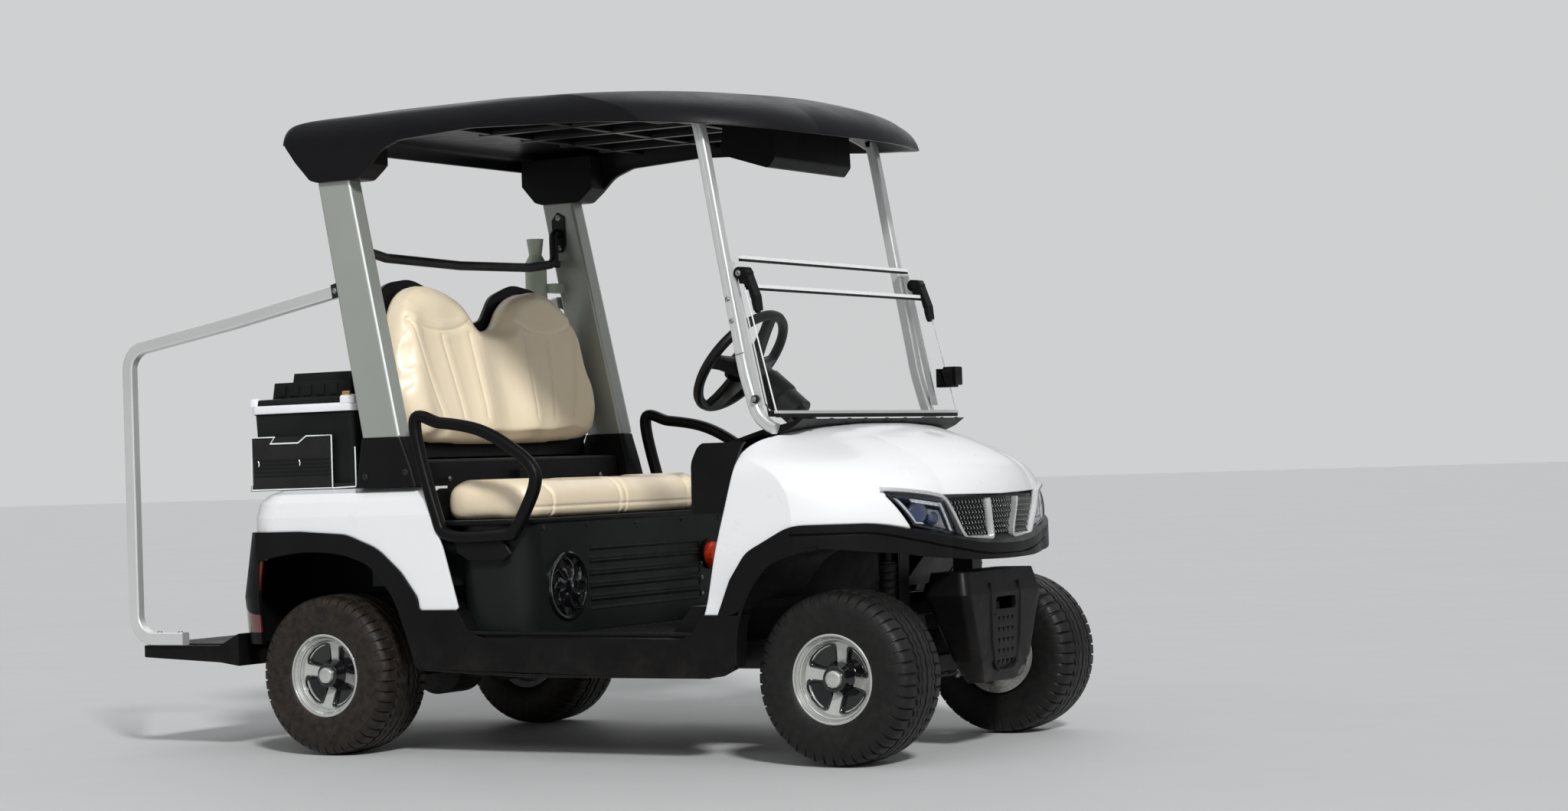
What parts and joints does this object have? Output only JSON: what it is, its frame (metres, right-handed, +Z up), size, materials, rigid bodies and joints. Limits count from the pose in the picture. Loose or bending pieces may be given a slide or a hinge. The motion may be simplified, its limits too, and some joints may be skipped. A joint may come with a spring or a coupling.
{
  "type": "golf cart",
  "caption": "Two-place golf cart with a roof, fold-down windshield, bench, steered front wheels, rear bag well, side cooler and a standing board with rails behind.",
  "frame": {"origin": "on the ground under the middle of the cart's outline", "axes": "+X forward, +Y to the left of the driver, +Z up"},
  "size_m": [2.647, 1.22, 1.844],
  "materials": {
    "white_panel": "gloss",
    "black_moulding": "satin, fine grain",
    "dark_grey_moulding": "satin",
    "roof_black": "satin",
    "aluminium": "satin anodised",
    "silver_paint": "satin metallic",
    "vinyl_cream": "smooth vinyl",
    "tyre": "matte",
    "wheel_alloy": "painted silver",
    "steel_black": "semi-gloss black",
    "steel": "zinc plated",
    "glass_clear": "clear",
    "lens_clear": "clear",
    "lamp_dark": "gloss",
    "chrome_trim": "bright",
    "mesh_black": "gloss",
    "red_cap": "satin",
    "red_lens": "gloss",
    "cooler_black": "satin",
    "bottle_green": "satin",
    "grip_black": "soft satin",
    "battery_grey": "matte"
  },
  "bodies": {
    "chassis": {"rear_axle": "steel_black", "front_axle": "steel_black", "chassis_frame": "steel_black", "cross_members": "steel_black", "shock_towers": "steel_black", "leaf_springs": "steel_black", "front_flare": "black_moulding", "rockers": "black_moulding", "front_body": "white_panel", "headlamps": "lamp_dark", "lamp_lenses": "lens_clear", "grille_mesh": "mesh_black", "grille_frames": "chrome_trim", "dash_cowl": "black_moulding", "floor_pan": "black_moulding", "rear_body": "white_panel", "bag_well": "black_moulding", "rear_bumper": "black_moulding", "tail_lamps": "red_lens", "seat_base": "dark_grey_moulding", "speaker_cover": "mesh_black", "charge_cap": "red_cap", "battery_pack": "battery_grey", "seat_back": "vinyl_cream", "backrest_shell": "black_moulding", "armrests": "black_moulding", "roof_struts": "aluminium", "strut_feet": "black_moulding", "windshield_posts": "silver_paint", "roof": "roof_black", "overhead_console": "black_moulding", "windshield_lower": "glass_clear", "windshield_upper": "glass_clear", "windshield_clips": "black_moulding", "grab_bar": "steel_black", "rear_rails": "aluminium", "step_board": "black_moulding", "cooler_body": "cooler_black", "cooler_rack": "steel_black", "bag_rest": "black_moulding", "sand_bottle": "bottle_green", "nose_guard": "black_moulding", "steering_column": "steel_black", "pedals": "steel_black"},
    "knuckle_left_body": {"knuckle_left": "steel"},
    "knuckle_right_body": {"knuckle_right": "steel"},
    "tie_rod_body": {"tie_rod": "steel"},
    "wheel_front_left": {"tyre_front_left": "tyre", "rim_front_left": "wheel_alloy"},
    "wheel_front_right": {"tyre_front_right": "tyre", "rim_front_right": "wheel_alloy"},
    "wheel_rear_left": {"tyre_rear_left": "tyre", "rim_rear_left": "wheel_alloy"},
    "wheel_rear_right": {"tyre_rear_right": "tyre", "rim_rear_right": "wheel_alloy"},
    "steering_wheel_body": {"steering_wheel": "grip_black"},
    "cushion_body": {"seat_cushion": "vinyl_cream"},
    "cooler_lid_body": {"cooler_lid": "cooler_black"}
  },
  "joints": [
    {"name": "steer_left", "type": "hinge", "parent": "chassis", "child": "knuckle_left_body", "pos_m": [1.0735, 0.343, 0.2285], "axis": [0, 0, 1], "range_deg": [-25, 25]},
    {"name": "steer_right", "type": "hinge", "parent": "chassis", "child": "knuckle_right_body", "pos_m": [1.0735, -0.343, 0.2285], "axis": [0, 0, 1], "range_deg": [-25, 25]},
    {"name": "tie_rod_swing", "type": "hinge", "parent": "knuckle_left_body", "child": "tie_rod_body", "pos_m": [0.9685, 0.343, 0.17], "axis": [0, 0, 1], "range_deg": [-25, 25]},
    {"name": "steering_wheel_turn", "type": "hinge", "parent": "chassis", "child": "steering_wheel_body", "pos_m": [0.3415, 0.24, 1.094], "axis": [-0.766, 0, 0.6428], "range_deg": [-350, 350]},
    {"name": "spin_front_left", "type": "hinge", "parent": "knuckle_left_body", "child": "wheel_front_left", "pos_m": [1.0735, 0.475, 0.2285], "axis": [0, 1, 0], "continuous": true},
    {"name": "spin_front_right", "type": "hinge", "parent": "knuckle_right_body", "child": "wheel_front_right", "pos_m": [1.0735, -0.475, 0.2285], "axis": [0, 1, 0], "continuous": true},
    {"name": "spin_rear_left", "type": "hinge", "parent": "chassis", "child": "wheel_rear_left", "pos_m": [-0.5765, 0.495, 0.2285], "axis": [0, 1, 0], "continuous": true},
    {"name": "spin_rear_right", "type": "hinge", "parent": "chassis", "child": "wheel_rear_right", "pos_m": [-0.5765, -0.495, 0.2285], "axis": [0, 1, 0], "continuous": true},
    {"name": "cushion_tilt", "type": "hinge", "parent": "chassis", "child": "cushion_body", "pos_m": [0.0915, 0, 0.6603], "axis": [0, 1, 0], "range_deg": [0, 75]},
    {"name": "cooler_lid_open", "type": "hinge", "parent": "chassis", "child": "cooler_lid_body", "pos_m": [-0.8745, -0.385, 0.9803], "axis": [0, -1, 0], "range_deg": [0, 95]}
  ],
  "couplings": [
    {"joint": "steer_right", "follows": "steer_left", "ratio": 1},
    {"joint": "tie_rod_swing", "follows": "steer_left", "ratio": -1},
    {"joint": "steering_wheel_turn", "follows": "steer_left", "ratio": 14}
  ]
}
